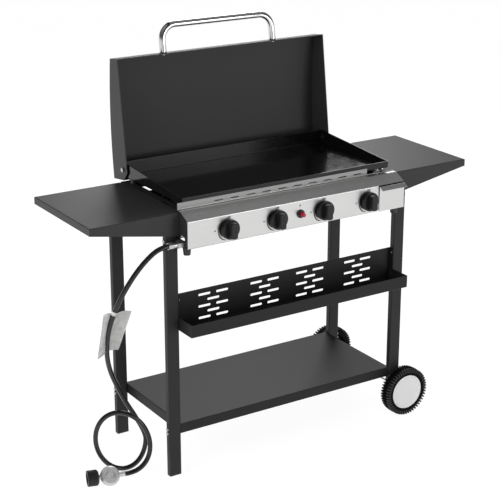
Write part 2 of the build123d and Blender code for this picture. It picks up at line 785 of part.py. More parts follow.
def lid_shell():
    """A folded lid: crowned top, upright front, a rear wall above the hinge and hemmed side walls."""
    shell = extrude(lid_plane(lid_half_width) * lid_outline(0, rim_below_hinge), 2 * lid_half_width)
    ends = shell.faces().sort_by(Axis.X)
    crown_edges = [edge for face in (ends[0], ends[-1]) for edge in face.edges().filter_by(GeomType.CIRCLE)]
    shell = fillet(crown_edges, lid_bend)
    inner_half = lid_half_width - lid_sheet
    hollow = extrude(lid_plane(inner_half) * lid_outline(lid_sheet, 0.01), 2 * inner_half)
    hem_top = lid_hem_height - rim_below_hinge
    behind, below = -2 * lid_rear_reach, -2 * rim_below_hinge
    wall_front, hem_front = lid_front_reach - lid_sheet, lid_front_reach - lid_hem
    low = Polygon((behind, hem_top), (wall_front, hem_top), (wall_front, 0.5), (behind, 0.5), align=None)
    mouth = Polygon((behind, below), (hem_front, below), (hem_front, hem_top), (behind, hem_top), align=None)
    mouth_half = lid_half_width - lid_hem
    shell -= hollow
    shell -= extrude(lid_plane(inner_half) * low, 2 * inner_half)
    shell -= extrude(lid_plane(mouth_half) * mouth, 2 * mouth_half)
    pin_hole = hinge_pin_diameter / 2 + running_gap
    shell -= rod_x(-lid_half_width - 1, lid_half_width + 1, hinge_y, hinge_z, pin_hole)
    for sign in (-1, 1):
        shell -= handle_axis_rod(sign, -2 * lid_hem, lid_hem, handle_screw_diameter / 2 + bolt_hole_gap)
    return shell


def handle_axis_rod(sign, start, end, radius):
    """A round bar along a handle leg, measured from the lid's front wall."""
    plane = lid_plane(sign * handle_leg_x)
    base = plane.from_local_coords((lid_front_reach + start, handle_from_rim - rim_below_hinge, 0))
    return extrude(Plane(base, x_dir=(1, 0, 0), z_dir=plane.x_dir) * Circle(radius), end - start)


def lid_handle():
    """A polished tube bent into a wide bow, with plugged ends for its screws."""
    out = handle_from_rim - rim_below_hinge
    corners = []
    for sign, reach in ((-1, 0), (-1, handle_rise), (1, handle_rise), (1, 0)):
        corners.append(lid_plane(sign * handle_leg_x).from_local_coords((lid_front_reach + reach, out, 0)))
    path = FilletPolyline(*corners, radius=handle_bend)
    start = Plane(corners[0], x_dir=(1, 0, 0), z_dir=lid_plane(0).x_dir)
    ring = Circle(handle_diameter / 2) - Circle(handle_diameter / 2 - handle_wall)
    tube = sweep(start * ring, path=path)
    for sign in (-1, 1):
        tube += handle_axis_rod(sign, 0, handle_plug, handle_diameter / 2 - handle_wall / 2)
        tube -= handle_axis_rod(sign, -1, handle_plug + 1, handle_screw_diameter / 2 + seat_gap)
    return tube


def handle_screw(sign):
    wall = -lid_sheet
    shank = handle_axis_rod(sign, wall, handle_plug, handle_screw_diameter / 2)
    washer = handle_axis_rod(sign, wall - handle_washer_height, wall, handle_washer_radius)
    head = handle_axis_rod(sign, wall - handle_washer_height - bolt_head_height, wall, bolt_head_radius)
    return shank + washer + head


# Burners, valves, knobs and igniter


def burner(x):
    """A tube burner with air shutters at its mouth, ports along its top and a closed rear end."""
    tube = rod_y(x, burner_front_y, burner_rear_y, burner_z, burner_diameter / 2)
    bore = burner_diameter / 2 - burner_wall
    tube -= rod_y(x, burner_front_y - 1, burner_rear_y - burner_wall, burner_z, bore)
    shutter_y = burner_front_y + shutter_length
    tube -= block(x - burner_diameter, x + burner_diameter, shutter_y, shutter_y + shutter_length,
                  burner_z - shutter_height / 2, burner_z + shutter_height / 2)
    first = (rail_y[0] + rail_y[1]) / 2 - (burner_port_count - 1) / 2 * burner_port_pitch
    for port in range(burner_port_count):
        y = first + port * burner_port_pitch
        tube -= block(x - burner_port_width / 2, x + burner_port_width / 2, y - burner_port_length / 2,
                      y + burner_port_length / 2, burner_z, burner_z + burner_diameter)
    return tube


def burner_rail(y):
    """A folded strip on the box floor that carries the four burners."""
    half = box_inner_x - seat_gap
    rail = block(-half, half, y - box_sheet / 2, y + box_sheet / 2, floor_top_z, burner_z + rail_above_burner)
    rail += block(-half, half, y - box_sheet / 2, y + rail_foot, floor_top_z, floor_top_z + box_sheet)
    for x in burner_x:
        rail -= rod_y(x, y - rail_foot, y + rail_foot, burner_z, burner_diameter / 2 + seat_gap)
    return rail


def front_burner_rail():
    x, z = electrode_place()
    y = rail_y[0]
    return burner_rail(y) - rod_y(x, y - rail_foot, y + rail_foot, z, electrode_radius + seat_gap)


def electrode_place():
    return burner_x[1] + electrode_offset, burner_z + burner_diameter / 2


def igniter_electrode():
    x, z = electrode_place()
    y = rail_y[0]
    rod = rod_y(x, y - electrode_front, y + electrode_rear, z, electrode_radius)
    collar_y = y - box_sheet / 2
    rod += rod_y(x, collar_y - electrode_collar, collar_y, z, electrode_collar_radius)
    return rod + rod_y(x, y + electrode_rear, y + electrode_rear + electrode_tip, z, electrode_tip_radius)


def gas_manifold():
    pipe = rod_x(inlet_x, manifold_right_x, manifold_y, manifold_z, manifold_radius)
    bore = manifold_radius - manifold_wall
    pipe -= rod_x(inlet_x - 1, manifold_right_x - manifold_wall, manifold_y, manifold_z, bore)
    for x in burner_x:
        pipe -= rod_z(x, manifold_y, manifold_z, manifold_z + 2 * manifold_radius, valve_neck_radius / 2)
    return pipe


def valve_body(x):
    """A gas valve: a barrel behind the panel, a neck down to the manifold and a nozzle to its burner."""
    body = rod_y(x, face_back_y, valve_rear_y, burner_z, valve_radius)
    body += rod_z(x, manifold_y, manifold_z, burner_z, valve_neck_radius)
    pipe = manifold_radius + seat_gap
    body -= rod_x(x - 2 * valve_radius, x + 2 * valve_radius, manifold_y, manifold_z, pipe)
    nozzle_plane = Plane((x, valve_rear_y, burner_z), x_dir=(1, 0, 0), z_dir=(0, 1, 0))
    body += extrude(nozzle_plane * RegularPolygon(nozzle_flats / 2, 6, major_radius=False), nozzle_length)
    return body - rod_y(x, face_back_y - 1, face_back_y + stem_plug_depth, burner_z,
                        stem_plug_diameter / 2 + running_gap)


def valve_stem(x):
    """The turning plug of a valve and the spindle that its knob slides on."""
    plug_end = face_back_y + stem_plug_depth - moving_gap
    plug = rod_y(x, face_back_y + sheet, plug_end, burner_z, stem_plug_diameter / 2)
    return plug + rod_y(x, knob_front_y + knob_front_wall, plug_end, burner_z, stem_diameter / 2)


def knob(x):
    """A round skirt with a broad tapering grip across it, bored for the spindle."""
    skirt = rod_y(x, knob_back_y - knob_skirt, knob_back_y, burner_z, knob_radius)
    skirt = fillet(skirt.edges().filter_by(GeomType.CIRCLE).sort_by(Axis.Y)[0], edge_round)
    base = Plane((x, knob_back_y, burner_z), x_dir=(1, 0, 0), z_dir=(0, -1, 0))
    outline = Circle(knob_grip_radius) & Rectangle(knob_grip_width, 2 * knob_grip_radius)
    outline = fillet(outline.vertices(), grip_round)
    grip = extrude(base * outline, knob_depth, taper=knob_grip_draft)
    grip = fillet(grip.faces().sort_by(Axis.Y)[0].edges(), grip_round)
    bore_end = knob_front_y + knob_front_wall - knob_travel - 2 * moving_gap
    return skirt + grip - rod_y(x, bore_end, knob_back_y + 1, burner_z, stem_diameter / 2 + running_gap)


def igniter_body():
    body = rod_y(0, face_y - igniter_flange, face_y, igniter_z, igniter_flange_radius)
    body = fillet(body.edges().filter_by(GeomType.CIRCLE).sort_by(Axis.Y)[0], edge_round)
    body += rod_y(0, face_y, face_y + igniter_barrel_length, igniter_z, igniter_barrel_radius)
    bore_end = face_y - igniter_flange - button_proud + button_length + button_travel + moving_gap
    bore = button_diameter / 2 + running_gap
    return body - rod_y(0, face_y - 2 * igniter_flange, bore_end, igniter_z, bore)


def igniter_button():
    front = face_y - igniter_flange - button_proud
    button = rod_y(0, front, front + button_length, igniter_z, button_diameter / 2)
    return fillet(button.edges().filter_by(GeomType.CIRCLE).sort_by(Axis.Y)[0], grip_round)


# Grease drawer


def grease_drawer():
    """A front with a folded finger pull and side returns, and a pan behind it that catches the drips."""
    mid, back = drawer_front_y + sheet / 2, drawer_front_y + sheet
    fold_z = drawer_top_z - sheet / 2
    points = [(mid - drawer_pull, fold_z - drawer_pull_drop), (mid, fold_z), (mid, box_bottom_z)]
    drawer = bent_sheet(points, drawer_left_x, drawer_right_x, sheet)
    for edge, inner in ((drawer_left_x, drawer_left_x + sheet), (drawer_right_x, drawer_right_x - sheet)):
        drawer += block(edge, inner, mid, face_y, box_bottom_z, fold_z - bend_radius)
    x0, x1, y1 = drawer_pan_left_x, drawer_pan_right_x, drawer_pan_rear_y
    low, top = drawer_pan_bottom_z, drawer_pan_bottom_z + drawer_pan_height
    pan = block(x0, x1, mid, y1, low, top)
    pan -= block(x0 + sheet, x1 - sheet, back, y1 - sheet, low + sheet, top + 1)
    return drawer + pan


def drawer_rail(x_side):
    """An angle on the box floor that guides one side of the pan."""
    y0, y1 = face_y + return_depth + seat_gap, drawer_pan_rear_y
    if x_side < 0:
        edge, foot = drawer_pan_left_x - moving_gap, drawer_pan_left_x + drawer_rail_width
    else:
        edge, foot = drawer_pan_right_x + moving_gap, drawer_pan_right_x - drawer_rail_width
    wall = block(edge + x_side * sheet, edge, y0, y1, floor_top_z, floor_top_z + drawer_rail_height)
    return wall + block(edge, foot, y0, y1, floor_top_z, drawer_pan_bottom_z - moving_gap)


# Fasteners


def frame_bolt(x_sign, y, z, end_x):
    """A button-head bolt from a leg's outer face to end_x, with its nut there."""
    bolt = rod_x(x_sign * leg_outer_x, x_sign * (end_x - nut_height), y, z, bolt_diameter / 2)
    head = rod_x(x_sign * leg_outer_x, x_sign * (leg_outer_x + bolt_head_height), y, z, bolt_head_radius)
    nut = hex_x(x_sign * end_x, x_sign * (end_x - nut_height), y, z, nut_flats)
    return bolt + head + nut


def frame_bolts(heights, end_x):
    places = [(sign, y, z) for sign in (-1, 1) for y in leg_mid_y for z in heights]
    return [frame_bolt(sign, y, z, end_x) for sign, y, z in places]


def tray_screw(x_sign, z):
    inner = leg_inner_x - sheet
    head = rod_x(x_sign * inner, x_sign * (inner - bolt_head_height), leg_mid_y[0], z, bolt_head_radius)
    end = leg_inner_x + tray_screw_depth
    return head + rod_x(x_sign * inner, x_sign * end, leg_mid_y[0], z, bolt_diameter / 2)


def mount_spacer(x_sign, y, z, inner_x):
    ring = rod_x(x_sign * inner_x, x_sign * leg_inner_x, y, z, spacer_ring_radius)
    return ring - rod_x(x_sign * (inner_x - 1), x_sign * (leg_inner_x + 1), y, z, bolt_hole)


def mount_spacers():
    rings = []
    for sign in (-1, 1):
        for y in leg_mid_y:
            rings.append(mount_spacer(sign, y, box_bolt_z[0], box_half_width))
            rings.append(mount_spacer(sign, y, box_bolt_z[1], table_inner_x + sheet))
    return rings


# Gas hose and regulator

fitting_end_x = inlet_x - inlet_hex_length - inlet_body_length - inlet_nut_length


def gas_inlet_fitting():
    """Two hexagons and a round body in line, screwed on the manifold's end."""
    x1 = inlet_x - inlet_hex_length
    x2 = x1 - inlet_body_length
    fitting = hex_x(inlet_x, x1, manifold_y, manifold_z, inlet_hex_flats)
    fitting += rod_x(x1, x2, manifold_y, manifold_z, inlet_body_radius)
    return fitting + hex_x(x2, fitting_end_x, manifold_y, manifold_z, inlet_nut_flats)


loop_along = Vector(cos(radians(loop_plan_turn)), sin(radians(loop_plan_turn)), 0)
loop_across = Vector(-loop_along.Y, loop_along.X, 0)
loop_end_height = loop_middle_z - loop_end_z


def loop_point(turn):
    """A point of the hose loop at a turn angle, in degrees from its right-hand side."""
    share = (loop_start_turn - turn) / (loop_start_turn - loop_end_turn)
    width = loop_start_width + share * (loop_end_width - loop_start_width)
    height = loop_start_height + share * (loop_end_height - loop_start_height)
    middle = Vector(loop_end_x, loop_end_y, loop_middle_z)
    middle += (loop_across * loop_back + loop_along * loop_side) * (1 - share)
    angle = radians(turn)
    rise = height * sin(angle) + loop_shear * cos(angle)
    return middle + loop_along * (width * cos(angle)) + Vector(0, 0, rise)


def loop_heading(turn):
    """The hose's direction at a turn angle: it runs down the right side first."""
    if turn <= loop_end_turn:
        return -loop_along
    step = 0.5
    return (loop_point(turn - step) - loop_point(turn + step)).normalized()


def biarc(start, start_heading, end, end_heading):
    """Two tangent arcs between two points with given directions."""
    chord = end - start
    both = start_heading + end_heading
    lean = chord.dot(both)
    spread = 2 * (1 - start_heading.dot(end_heading))
    reach = (-lean + (lean ** 2 + spread * chord.dot(chord)) ** 0.5) / spread
    first, second = start + start_heading * reach, end - end_heading * reach
    middle = (first + second) * 0.5
    return [TangentArc(start, middle, tangent=start_heading),
            TangentArc(middle, end, tangent=(second - first).normalized())]


def least_gap(points, spacing, diameter):
    """Smallest clear distance between stretches of a hose that are not neighbours."""
    apart = int(2 * diameter / spacing)
    gaps = [(a - b).length for i, a in enumerate(points) for b in points[i + apart:]]
    return min(gaps) - diameter


def hose_loop():
    """The loose loop of hose that stands on the floor, as one unbroken tube."""
    step = (loop_end_turn - loop_start_turn) / loop_steps
    turns = [loop_start_turn + index * step for index in range(loop_steps + 1)]
    arcs = []
    for turn, after in zip(turns, turns[1:]):
        arcs += biarc(loop_point(turn), loop_heading(turn), loop_point(after), loop_heading(after))
    path = Wire(arcs)
    start = Plane(loop_point(loop_start_turn), z_dir=loop_heading(loop_start_turn))
    samples = 160
    points = [path.position_at(index / samples) for index in range(samples + 1)]
    gap = least_gap(points, path.length / samples, hose_diameter)
    print("hose loop: length", round(path.length, 1), "least gap to itself", round(gap, 1))
    return sweep(start * Circle(hose_diameter / 2), path=path)


def hose_drop():
    """The hose from the inlet down to its loop: straight runs joined by wide arcs."""
    end = loop_point(loop_start_turn)
    before_end = end - loop_heading(loop_start_turn) * drop_last_run
    route = [Vector(fitting_end_x, manifold_y, manifold_z)] + [Vector(*point) for point in drop_points]
    route += [before_end, end]
    runs = [after - point for point, after in zip(route, route[1:])]
    radii = []
    for run, after in zip(runs, runs[1:]):
        half_turn = radians(run.get_angle(after)) / 2
        radii.append(0.45 * min(run.length, after.length) / tan(half_turn))
    path = FilletPolyline(*route, radius=radii)
    tube = sweep(Plane(route[0], z_dir=runs[0]) * Circle(hose_diameter / 2), path=path)
    section = pi * hose_diameter ** 2 / 4
    print("hose drop: radii", [round(radius) for radius in radii], "length", round(path.length, 1))
    print("hose drop: volume over section times length", round(tube.volume / (section * path.length), 4))
    return tube


neck_end = port_hex_length + port_neck_length + 2 * regulator_radius + neck_length


def regulator_plane(reach):
    """A plane across the regulator's axis, at a reach from the end of the hose."""
    return Plane(loop_point(loop_end_turn) - loop_along * reach, x_dir=(0, 0, 1), z_dir=-loop_along)


def axis_rod(start, end, radius):
    """A round bar along the regulator's axis."""
    return extrude(regulator_plane(start) * Circle(radius), end - start)


def regulator_body():
    """The round body: two pressed halves with a seam at their rim, a hub and a vent."""
    radius, half, seam = regulator_radius, regulator_half_height, regulator_seam / 2
    section = Polygon((0, -half), (regulator_base_radius, -half), (radius, -regulator_rim), (radius, -seam),
                      (radius - regulator_seam, 0), (radius, seam), (radius, regulator_rim),
                      (regulator_shoulder_radius, half), (0, half), align=None)
    body = revolve(Plane.XZ * section, Axis.Z)
    body += rod_z(0, 0, half, half + regulator_hub, regulator_hub_radius)
    vent = rod_z(regulator_vent_reach, 0, half, half + regulator_vent, regulator_vent_radius)
    return body + Rot(0, 0, -45) * vent


def regulator():
    """A pressure regulator lying on its edge, with a hexagonal port and the nipple for a gas bottle."""
    tilt = radians(regulator_tilt)
    facing = Vector(0, 0, cos(tilt)) - loop_across * sin(tilt)
    centre = regulator_plane(port_hex_length + port_neck_length + regulator_radius).origin
    body = Plane(centre, x_dir=-loop_along, z_dir=facing) * regulator_body()
    port = RegularPolygon(port_hex_flats / 2, 6, major_radius=False)
    body += extrude(regulator_plane(0) * port, port_hex_length)
    body += axis_rod(port_hex_length, neck_end, neck_radius)
    nipple_end = neck_end + nipple_length
    body += axis_rod(neck_end, nipple_end, nipple_radius)
    return body + axis_rod(nipple_end, nipple_end + nipple_head, nipple_head_radius)


def regulator_hand_nut():
    """The fluted hand nut that screws on a gas bottle, open at its far end."""
    outline = Circle(hand_nut_radius)
    notch = Pos(hand_nut_radius, 0) * Circle(hand_nut_groove)
    outline -= [Rot(0, 0, grip * 360 / hand_nut_grips) * notch for grip in range(hand_nut_grips)]
    nut = extrude(outline, hand_nut_length)
    radius = hand_nut_radius
    form = Polygon((0, 0), (radius - hand_nut_shoulder, 0), (radius, hand_nut_shoulder),
                   (radius, hand_nut_length), (0, hand_nut_length), align=None)
    nut &= revolve(Plane.XZ * form, Axis.Z)
    nut -= rod_z(0, 0, hand_nut_length - hand_nut_mouth_depth, hand_nut_length + 1, hand_nut_mouth_radius)
    nut -= Cylinder(nipple_radius + running_gap, 4 * hand_nut_length)
    return regulator_plane(neck_end + moving_gap) * nut


# All nodes by name

nodes = {
    "front_left_leg": leg_tube(-1, leg_mid_y[0], foot_cap_height) - front_screw_holes(-1),
    "front_right_leg": right_leg(0) - front_screw_holes(1),
    "rear_left_leg": leg_tube(-1, leg_mid_y[1], foot_cap_height),
    "rear_right_leg": right_leg(1),
    "leg_foot_caps": group(foot_cap(-1, y, 0, foot_cap_height) for y in leg_mid_y),
    "lower_shelf": lower_shelf(),
    "condiment_tray": condiment_tray(),
    "wheel_axle": wheel_axle(),
    "axle_push_nuts": group(push_nut(sign) for sign in (-1, 1)),
    "front_wheel": wheel(-1),
    "rear_wheel": wheel(1),
    "front_wheel_cap": wheel_cap(-1),
    "rear_wheel_cap": wheel_cap(1),
    "side_table_left": mirrored(side_table()),
    "side_table_right": side_table(),
    "shelf_bolts": group(frame_bolts(shelf_bolt_z, leg_inner_x - sheet)),
    "box_bolts": group(frame_bolts(box_bolt_z, box_inner_x)),
    "tray_screws": group(tray_screw(sign, z) for sign in (-1, 1) for z in tray_screw_z),
    "mount_spacers": group(mount_spacers()),
    "firebox_left_side": left_box_side(),
    "firebox_right_side": box_side(),
    "firebox_rear_panel": box_rear_panel(),
    "firebox_floor": box_floor(),
    "box_feet": group(box_feet()),
    "control_panel": control_panel(),
    "griddle_plate": griddle_plate(),
    "plate_spacers": group(plate_spacers()),
    "drain_spout": drain_spout(),
    "hinge_bolts": group(hinge_bolt(sign) for sign in (-1, 1)),
    "lid_shell": lid_shell(),
    "lid_handle": lid_handle(),
    "handle_screws": group(handle_screw(sign) for sign in (-1, 1)),
    "front_burner_rail": front_burner_rail(),
    "rear_burner_rail": burner_rail(rail_y[1]),
    "gas_manifold": gas_manifold(),
    "valve_bodies": group(valve_body(x) for x in burner_x),
    "igniter_body": igniter_body(),
    "igniter_button": igniter_button(),
    "igniter_electrode": igniter_electrode(),
    "grease_drawer": grease_drawer(),
    "drawer_rails": group(drawer_rail(side) for side in (-1, 1)),
    "gas_inlet_fitting": gas_inlet_fitting(),
    "hose_drop": hose_drop(),
    "hose_loop": hose_loop(),
    "regulator": regulator(),
    "regulator_hand_nut": regulator_hand_nut(),
}
for number, x in enumerate(burner_x, start=1):
    nodes[f"burner_{number}"] = burner(x)
    nodes[f"valve_stem_{number}"] = valve_stem(x)
    nodes[f"knob_{number}"] = knob(x)

# The lid closes until its front wall lies just above the plate's side walls
front_corner = atan2(lid_front_reach * lid_cosine + rim_below_hinge * lid_sine,
                     lid_front_reach * lid_sine - rim_below_hinge * lid_cosine)
corner_reach = hypot(lid_front_reach, rim_below_hinge)
rest_height = side_wall_top(hinge_y - corner_reach) + lid_rest_gap - hinge_z
lid_travel = 180 - degrees(asin(rest_height / corner_reach)) - degrees(front_corner)
print("lid travel in degrees", round(lid_travel, 2))

# The origin goes to the middle of the depth, under the middle of the cart
hose_names = ("hose_drop", "hose_loop", "regulator", "regulator_hand_nut")
boxes = [part.bounding_box() for name, part in nodes.items() if name not in hose_names]
depth_shift = -(min(box.min.Y for box in boxes) + max(box.max.Y for box in boxes)) / 2
print("depth shift", round(depth_shift, 4))

os.makedirs("parts", exist_ok=True)
for name, part in nodes.items():
    placed = [Pos(0, depth_shift, 0) * solid for solid in part.solids()]
    export_step(Compound(placed), f"parts/{name}.step")
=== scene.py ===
import json
import math

import bmesh
import bpy
from mathutils import Matrix, Vector


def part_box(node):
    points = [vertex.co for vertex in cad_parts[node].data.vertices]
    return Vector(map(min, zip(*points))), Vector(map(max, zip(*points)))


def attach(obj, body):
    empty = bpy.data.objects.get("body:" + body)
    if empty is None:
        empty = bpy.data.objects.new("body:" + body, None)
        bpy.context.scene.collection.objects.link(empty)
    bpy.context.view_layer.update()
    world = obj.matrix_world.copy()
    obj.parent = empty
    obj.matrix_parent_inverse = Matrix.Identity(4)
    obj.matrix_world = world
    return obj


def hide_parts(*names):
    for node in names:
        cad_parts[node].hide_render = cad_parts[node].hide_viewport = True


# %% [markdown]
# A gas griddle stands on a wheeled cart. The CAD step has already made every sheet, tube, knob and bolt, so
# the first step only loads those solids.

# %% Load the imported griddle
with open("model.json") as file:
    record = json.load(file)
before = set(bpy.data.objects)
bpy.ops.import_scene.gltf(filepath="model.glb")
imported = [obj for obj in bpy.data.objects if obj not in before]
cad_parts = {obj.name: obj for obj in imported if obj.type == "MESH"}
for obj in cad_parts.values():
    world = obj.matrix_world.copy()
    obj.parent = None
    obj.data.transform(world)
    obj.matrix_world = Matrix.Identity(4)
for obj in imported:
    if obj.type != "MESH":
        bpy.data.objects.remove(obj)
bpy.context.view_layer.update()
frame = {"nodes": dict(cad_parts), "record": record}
nodes = frame["nodes"]

# %% [markdown]
# The camera stands where the photographer stood: in front, to the left and above the tables. Its turn is
# written as three directions (right, up and back) rather than as angles, because they are the columns of
# its matrix. Points of the drawing are in millimetres. The drawing was slid along its depth to put the
# origin in the middle, so the control panel's face tells how far.

# %% Camera
panel_face_y = -0.228
depth_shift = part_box("control_panel")[0].y - panel_face_y


def place(x, y, z):
    """A point of the drawing, from millimetres to the frame's metres."""
    return Vector((x / 1000, y / 1000 + depth_shift, z / 1000))


def add(name, data):
    """A new object in the scene that shows a mesh, a curve, a lamp or a camera."""
    thing = bpy.data.objects.new(name, data)
    bpy.context.scene.collection.objects.link(thing)
    return thing


lens = bpy.data.cameras.new("studio_camera")
lens.sensor_width = 36.0
lens.lens = 102.585
lens.clip_end = 50.0
camera = add("studio_camera", lens)
camera_right = Vector((0.8436, -0.5370, 0.0))
camera_up = Vector((0.1761, 0.2766, 0.9448))
camera_back = Vector((-0.5074, -0.7969, 0.3279))
camera_turn = Matrix((camera_right, camera_up, camera_back)).transposed().to_4x4()
camera.matrix_world = Matrix.Translation(place(-2320.2, -3589.2, 2083.2)) @ camera_turn
bpy.context.scene.camera = camera
print("camera at", [round(v, 3) for v in camera.location])

# %% [markdown]
# The gas hose is a stiff black tube. It leaves the inlet fitting to the left, bows down past the leg, turns
# once in a loose loop that stands on the floor, and ends in the regulator. A NURBS curve through a few
# control points bends as evenly as real hose does. A polyline with rounded corners would look like bent
# wire.

# %% Route of the gas hose
drop_points = (
    (-441, -198, 750), (-462, -198, 750), (-493, -196, 735), (-533, -190, 697),
    (-570, -180, 643), (-601, -164, 575), (-615, -142, 500), (-608, -115, 424),
    (-588, -92, 358), (-554, -68, 290), (-522, -58, 226), (-494, -62, 176))
loop_heading = math.radians(-16)
loop_along = Vector((math.cos(loop_heading), math.sin(loop_heading), 0))
loop_across = Vector((-loop_along.y, loop_along.x, 0))
loop_end = Vector((-568, -130.5, 116.5))
loop_start_shift = loop_across * 89.3 + loop_along * 6.5
loop_half_width, loop_widens = 79.4, 5.1
loop_half_height, loop_lowers = 113.8, 23.3
loop_lean = 13.1
loop_start_turn, loop_end_turn = 40.0, -450.0
loop_first_turn, loop_count = 2.0, 25


def loop_place(turn):
    """A point of the loop at a turn angle in degrees, counted from its right-hand side."""
    share = (loop_start_turn - turn) / (loop_start_turn - loop_end_turn)
    angle = math.radians(turn)
    width = loop_half_width + loop_widens * share
    height = loop_half_height - loop_lowers * share
    middle = loop_end + loop_start_shift * (1 - share)
    rise = height * math.sin(angle) - loop_lean * math.cos(angle)
    return place(*(middle + loop_along * (width * math.cos(angle)) + Vector((0, 0, rise))))


loop_step = (loop_end_turn - loop_first_turn) / (loop_count - 0.5)
loop_turns = [loop_first_turn + index * loop_step for index in range(loop_count)] + [loop_end_turn]
hose_route = [place(*point) for point in drop_points] + [loop_place(turn) for turn in loop_turns]
print("hose control points:", len(hose_route))

# %% [markdown]
# The curve gets its thickness from a bevel of one metre, and each point's radius scales it down to the
# hose. The hose stands for the two CAD tubes along the same route.

# %% Gas hose
hose_diameter = 0.015
hose_curve = bpy.data.curves.new("gas_hose", "CURVE")
hose_curve.dimensions = "3D"
spline = hose_curve.splines.new("NURBS")
spline.points.add(len(hose_route) - 1)
for point, spot in zip(spline.points, hose_route):
    point.co = (*spot, 1.0)
    point.radius = hose_diameter / 2
spline.order_u = 3
spline.use_endpoint_u = True
spline.resolution_u = 8
hose_curve.bevel_depth = 1.0
hose_curve.bevel_resolution = 6
hose_curve.use_fill_caps = True
gas_hose = add("gas_hose", hose_curve)
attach(gas_hose, "cart")
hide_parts("hose_drop", "hose_loop")
print("hose diameter in millimetres:", hose_diameter * 1000)

# %% [markdown]
# Node trees repeat a few steps, so three functions take them up. One makes a math node, one makes a node
# that maps a span of values to another span, and one turns a finished bmesh into an object with a material.


# %% Small helpers
def math_node(tree, operation):
    """A node that does one sum."""
    made = tree.nodes.new("ShaderNodeMath")
    made.operation = operation
    return made


def map_range(tree, from_span, to_span):
    """A node that maps the span of values it reads to another span."""
    made = tree.nodes.new("ShaderNodeMapRange")
    made.inputs["From Min"].default_value, made.inputs["From Max"].default_value = from_span
    made.inputs["To Min"].default_value, made.inputs["To Max"].default_value = to_span
    return made


def object_from(name, shape, finish):
    """An object from a finished bmesh, with one material."""
    mesh = bpy.data.meshes.new(name)
    shape.to_mesh(mesh)
    shape.free()
    mesh.materials.append(finish)
    return add(name, mesh)


print("helpers:", math_node.__name__, map_range.__name__, object_from.__name__)

# %% [markdown]
# A studio floor is one large plane. It is a shade of white and keeps a soft shadow, and a share of its own
# glow makes it run into the white surround with no horizon. Only the camera and mirrors see that glow.

# %% Floor
floor_half_side = 30.0
floor_white, floor_glow, floor_glow_share = (0.85, 0.85, 0.85, 1), 1.11, 0.84
floor_paint = bpy.data.materials.new("studio_white")
floor_paint.use_nodes = True
tree = floor_paint.node_tree
tree.nodes.clear()
matte = tree.nodes.new("ShaderNodeBsdfDiffuse")
matte.inputs["Color"].default_value = floor_white
glow = tree.nodes.new("ShaderNodeEmission")
glow.inputs["Strength"].default_value = floor_glow
ray = tree.nodes.new("ShaderNodeLightPath")
seen = math_node(tree, "MAXIMUM")
glow_share = math_node(tree, "MULTIPLY")
glow_share.inputs[1].default_value = floor_glow_share
blend = tree.nodes.new("ShaderNodeMixShader")
output = tree.nodes.new("ShaderNodeOutputMaterial")
tree.links.new(ray.outputs["Is Camera Ray"], seen.inputs[0])
tree.links.new(ray.outputs["Is Glossy Ray"], seen.inputs[1])
tree.links.new(seen.outputs[0], glow_share.inputs[0])
tree.links.new(glow_share.outputs[0], blend.inputs["Fac"])
tree.links.new(matte.outputs[0], blend.inputs[1])
tree.links.new(glow.outputs[0], blend.inputs[2])
tree.links.new(blend.outputs[0], output.inputs["Surface"])
shape = bmesh.new()
bmesh.ops.create_grid(shape, x_segments=1, y_segments=1, size=floor_half_side)
floor = object_from("studio_floor", shape, floor_paint)
print("floor side in metres:", 2 * floor_half_side)

# %% [markdown]
# The surround is a tent that is white at the floor, dark above the horizon and grey overhead, with a dark
# gap in front and behind. Gloss on the steel shows it: the upright face mirrors the white floor, the
# sloping ledge mirrors the grey roof, and round tube shows the dark parts as lines, which makes it look
# polished.

# %% Tent that mirrors show
tent_dark, tent_overhead, tent_gap = 0.14, 0.17, 0.10
world = bpy.data.worlds.new("studio_tent")
world.use_nodes = True
bpy.context.scene.world = world
tree = world.node_tree
tree.nodes.clear()
direction = tree.nodes.new("ShaderNodeTexCoord")
parts = tree.nodes.new("ShaderNodeSeparateXYZ")
roof = map_range(tree, (0.0, 0.25), (1.0, tent_dark))
roof.interpolation_type = "SMOOTHSTEP"
overhead = map_range(tree, (0.45, 0.85), (0.0, tent_overhead))
ceiling = math_node(tree, "ADD")
sideways = math_node(tree, "ABSOLUTE")
gap = map_range(tree, (0.08, 0.20), (tent_gap, 1.0))
both = math_node(tree, "MULTIPLY")
tent = tree.nodes.new("ShaderNodeBackground")
tree.links.new(direction.outputs["Generated"], parts.inputs[0])
tree.links.new(parts.outputs["Z"], roof.inputs["Value"])
tree.links.new(parts.outputs["Z"], overhead.inputs["Value"])
tree.links.new(parts.outputs["X"], sideways.inputs[0])
tree.links.new(sideways.outputs[0], gap.inputs["Value"])
tree.links.new(roof.outputs["Result"], ceiling.inputs[0])
tree.links.new(overhead.outputs["Result"], ceiling.inputs[1])
tree.links.new(ceiling.outputs[0], both.inputs[0])
tree.links.new(gap.outputs["Result"], both.inputs[1])
tree.links.new(both.outputs[0], tent.inputs["Strength"])
print("tent nodes:", len(tree.nodes))

# %% [markdown]
# The kind of ray decides what it meets. A mirrored ray meets the tent. The camera sees plain white. For
# plain lighting the surround is one even, dimmer white, because the lamps do the rest.

